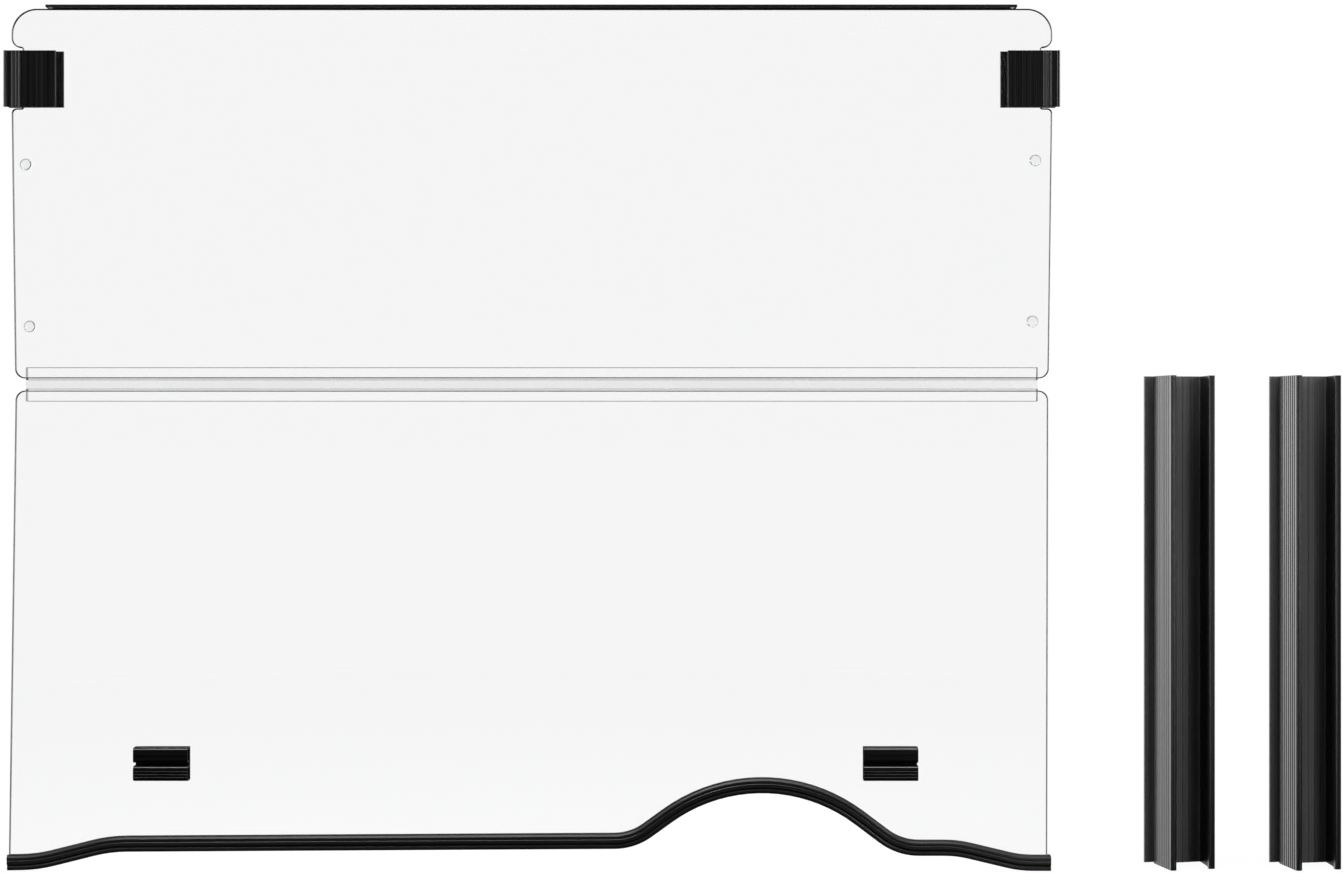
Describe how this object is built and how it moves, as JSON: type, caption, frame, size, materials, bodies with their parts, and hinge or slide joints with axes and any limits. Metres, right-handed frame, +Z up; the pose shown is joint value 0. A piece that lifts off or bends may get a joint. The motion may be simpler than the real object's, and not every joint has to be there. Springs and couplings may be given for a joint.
{
  "type": "folding windshield",
  "caption": "Clear two-part fold-down windshield with a living hinge, a humped rubber foot seal, strut clips and two loose side channels.",
  "frame": {"origin": "centre line of the windshield, in the mid-plane of the sheets, at the lowest point of the foot seal", "axes": "+X to the right seen from outside the vehicle, +Z up, -Y outward, away from the driver"},
  "size_m": [1.3386, 0.0724, 0.8649],
  "materials": {
    "clear_sheet": "polished clear acrylic",
    "hinge_clear": "clear semi-rigid vinyl",
    "hinge_flex": "hazy flexible vinyl",
    "black_extrusion": "satin black extruded plastic",
    "black_strip": "matt black plastic",
    "seal_rubber": "black rubber with extrusion lines",
    "rivet_metal": "satin",
    "pad_adhesive": "grey acrylic foam tape",
    "bumper_clear": "clear soft plastic"
  },
  "bodies": {
    "lower_sheet": {"lower_panel": "clear_sheet", "hinge_lower_leg": "hinge_clear", "hinge_web": "hinge_flex", "bottom_seal": "seal_rubber", "catch_pad_left": "pad_adhesive", "catch_pad_right": "pad_adhesive", "catch_clip_left": "black_extrusion", "catch_clip_right": "black_extrusion"},
    "upper_sheet": {"upper_panel": "clear_sheet", "hinge_upper_leg": "hinge_clear", "top_strip": "black_strip", "strip_rivet_left": "rivet_metal", "strip_rivet_right": "rivet_metal", "bumper_upper_left": "bumper_clear", "bumper_upper_right": "bumper_clear", "bumper_lower_left": "bumper_clear", "bumper_lower_right": "bumper_clear"},
    "clip_left": {"retaining_clip_left": "black_extrusion"},
    "clip_right": {"retaining_clip_right": "black_extrusion"},
    "channel_a": {"side_channel_a": "black_extrusion"},
    "channel_b": {"side_channel_b": "black_extrusion"}
  },
  "joints": [
    {"name": "fold", "type": "hinge", "parent": "lower_sheet", "child": "upper_sheet", "pos_m": [0, -0.006, 0.4855], "axis": [1, 0, 0], "range_deg": [0, 178.7]},
    {"name": "clip_left_slide", "type": "slide", "parent": "upper_sheet", "child": "clip_left", "axis": [-1, 0, 0], "range_m": [0, 0.045]},
    {"name": "clip_right_slide", "type": "slide", "parent": "upper_sheet", "child": "clip_right", "axis": [1, 0, 0], "range_m": [0, 0.045]},
    {"name": "channel_a_lift", "type": "slide", "parent": "lower_sheet", "child": "channel_a", "axis": [0, 0, 1], "range_m": [0, 0.25]},
    {"name": "channel_b_lift", "type": "slide", "parent": "lower_sheet", "child": "channel_b", "axis": [0, 0, 1], "range_m": [0, 0.25]}
  ]
}
